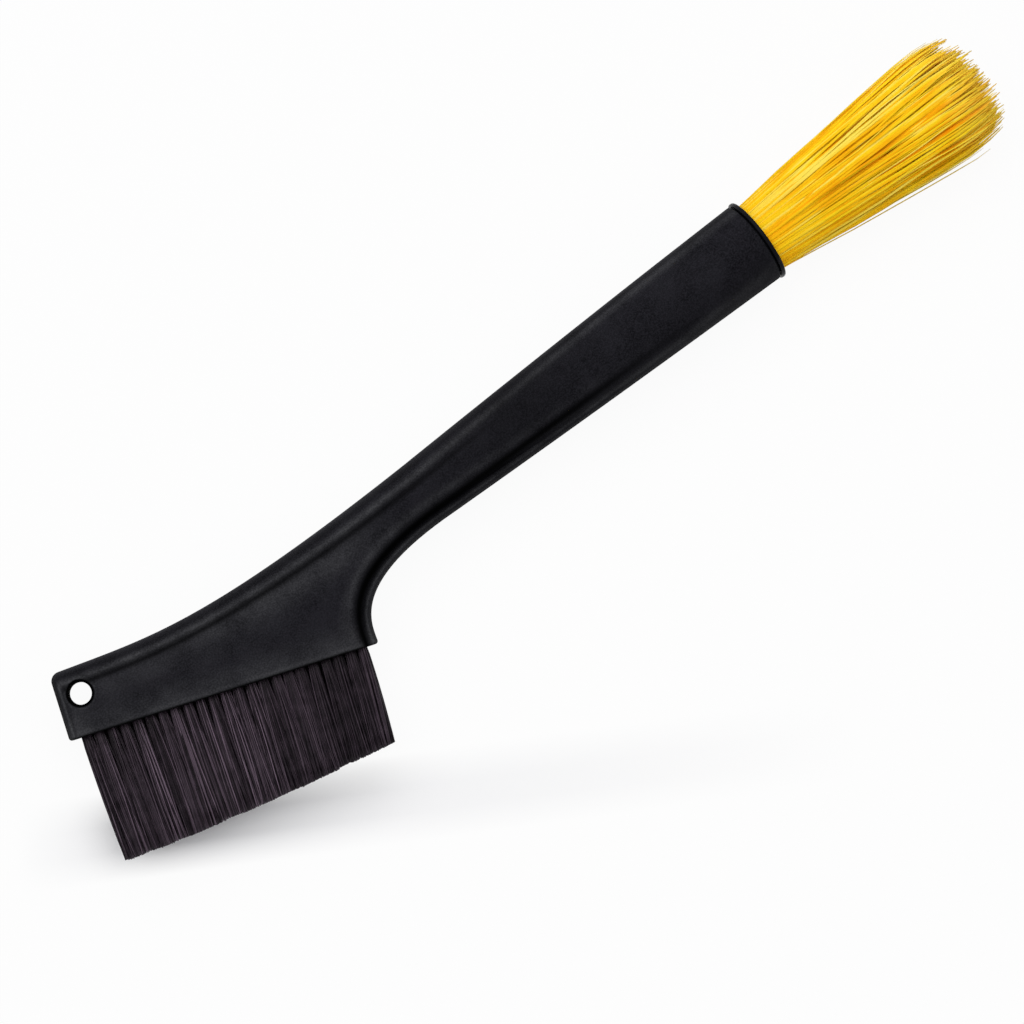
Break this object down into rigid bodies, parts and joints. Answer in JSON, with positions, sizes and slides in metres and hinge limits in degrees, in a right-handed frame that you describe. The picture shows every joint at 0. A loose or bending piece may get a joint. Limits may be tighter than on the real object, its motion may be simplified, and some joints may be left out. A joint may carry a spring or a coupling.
{
  "type": "grinder brush",
  "caption": "Double-ended hand brush: a flat angled head with stiff black bristles, a tapered round grip with a hang hole, and a round soft brush at its other end.",
  "frame": {"origin": "middle of the brush's box in plan, at the height of its lowest point, with the brush lying on its side", "axes": "+X along the grip towards the yellow bristles, +Y away from the black bristles, +Z across the thickness of the flat head, square to the plane that the head and the grip share"},
  "size_m": [0.2312, 0.051, 0.0193],
  "materials": {
    "handle_plastic": "fine matt moulded texture",
    "collar_plastic": "smooth gloss",
    "black_bristle": "drawn nylon filament, slightly silky",
    "yellow_bristle": "fine drawn filament, slightly silky",
    "resin": "cast, hidden in the collar"
  },
  "bodies": {
    "root": {"handle": "handle_plastic", "end_collar": "collar_plastic", "knot_plug": "resin", "yellow_bristles": "yellow_bristle", "tuft_front_01": "black_bristle", "tuft_front_02": "black_bristle", "tuft_front_03": "black_bristle", "tuft_front_04": "black_bristle", "tuft_front_05": "black_bristle", "tuft_front_06": "black_bristle", "tuft_front_07": "black_bristle", "tuft_front_08": "black_bristle", "tuft_front_09": "black_bristle", "tuft_front_10": "black_bristle", "tuft_front_11": "black_bristle", "tuft_front_12": "black_bristle", "tuft_front_13": "black_bristle", "tuft_front_14": "black_bristle", "tuft_front_15": "black_bristle", "tuft_front_16": "black_bristle", "tuft_front_17": "black_bristle", "tuft_front_18": "black_bristle", "tuft_front_19": "black_bristle", "tuft_front_20": "black_bristle", "tuft_front_21": "black_bristle", "tuft_front_22": "black_bristle", "tuft_front_23": "black_bristle", "tuft_back_01": "black_bristle", "tuft_back_02": "black_bristle", "tuft_back_03": "black_bristle", "tuft_back_04": "black_bristle", "tuft_back_05": "black_bristle", "tuft_back_06": "black_bristle", "tuft_back_07": "black_bristle", "tuft_back_08": "black_bristle", "tuft_back_09": "black_bristle", "tuft_back_10": "black_bristle", "tuft_back_11": "black_bristle", "tuft_back_12": "black_bristle", "tuft_back_13": "black_bristle", "tuft_back_14": "black_bristle", "tuft_back_15": "black_bristle", "tuft_back_16": "black_bristle", "tuft_back_17": "black_bristle", "tuft_back_18": "black_bristle", "tuft_back_19": "black_bristle", "tuft_back_20": "black_bristle", "tuft_back_21": "black_bristle", "tuft_back_22": "black_bristle"}
  },
  "joints": []
}
